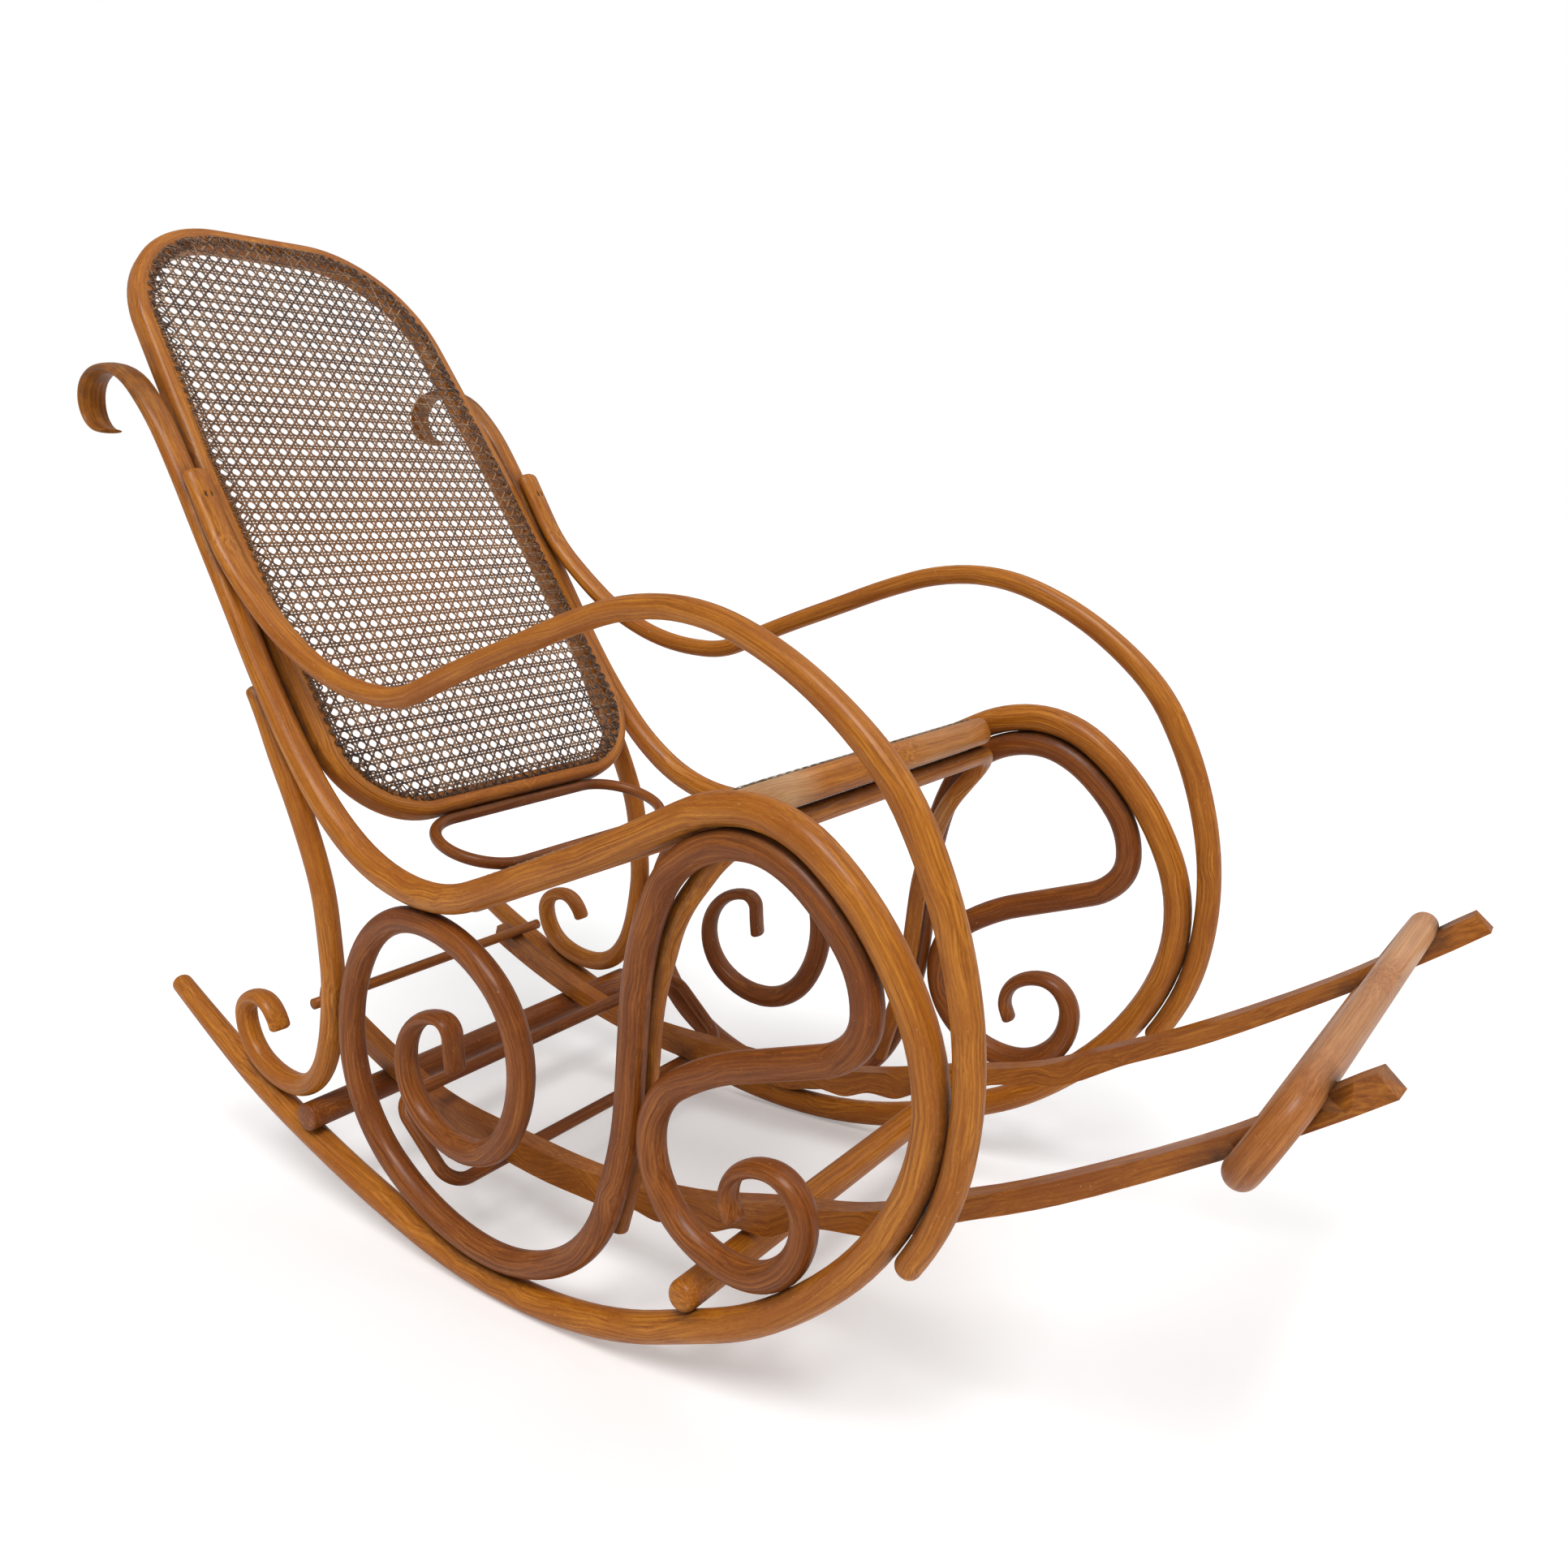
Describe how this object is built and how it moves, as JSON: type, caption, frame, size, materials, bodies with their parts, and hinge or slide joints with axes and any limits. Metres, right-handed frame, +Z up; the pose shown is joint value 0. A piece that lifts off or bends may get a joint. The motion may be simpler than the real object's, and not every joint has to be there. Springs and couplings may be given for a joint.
{
  "type": "rocking chair",
  "caption": "Bentwood rocking chair with scrolled side frames, arms, a caned seat and back, and a footrest that slides out from under the seat.",
  "frame": {"origin": "on the floor, under the middle of the chair's overall box", "axes": "+X to the sitter's left, +Y to the back of the chair, +Z up"},
  "size_m": [0.55, 1.3622, 1.0445],
  "materials": {
    "honey_beech": "stained and varnished, worn satin",
    "dark_beech": "stained and varnished, darker and redder",
    "footrest_beech": "stained and varnished, worn satin",
    "pale_beech": "stain worn thin by feet",
    "back_cane": "aged woven cane",
    "seat_cane": "aged woven cane, paler",
    "screw_steel": "dark oxidised"
  },
  "bodies": {
    "chair": {"side_rail_right": "honey_beech", "arm_rod_right": "honey_beech", "rear_leg_right": "honey_beech", "scroll_right": "dark_beech", "arm_screw_1_right": "screw_steel", "arm_screw_2_right": "screw_steel", "side_rail_left": "honey_beech", "arm_rod_left": "honey_beech", "rear_leg_left": "honey_beech", "scroll_left": "dark_beech", "arm_screw_1_left": "screw_steel", "arm_screw_2_left": "screw_steel", "back_frame": "honey_beech", "back_cane": "back_cane", "seat_frame": "honey_beech", "seat_cane": "seat_cane", "back_ring": "dark_beech", "seat_bow": "honey_beech", "front_stretcher": "honey_beech", "rear_stretcher": "dark_beech", "guide_ring": "dark_beech"},
    "footrest": {"footrest_rail_right": "footrest_beech", "footrest_rail_left": "footrest_beech", "footrest_ring": "pale_beech", "footrest_dowel": "footrest_beech"}
  },
  "joints": [
    {"name": "footrest_slide", "type": "hinge", "parent": "chair", "child": "footrest", "pos_m": [0, 0.06467, 0.8945], "axis": [-1, 0, 0], "range_deg": [0, 9.12]}
  ]
}
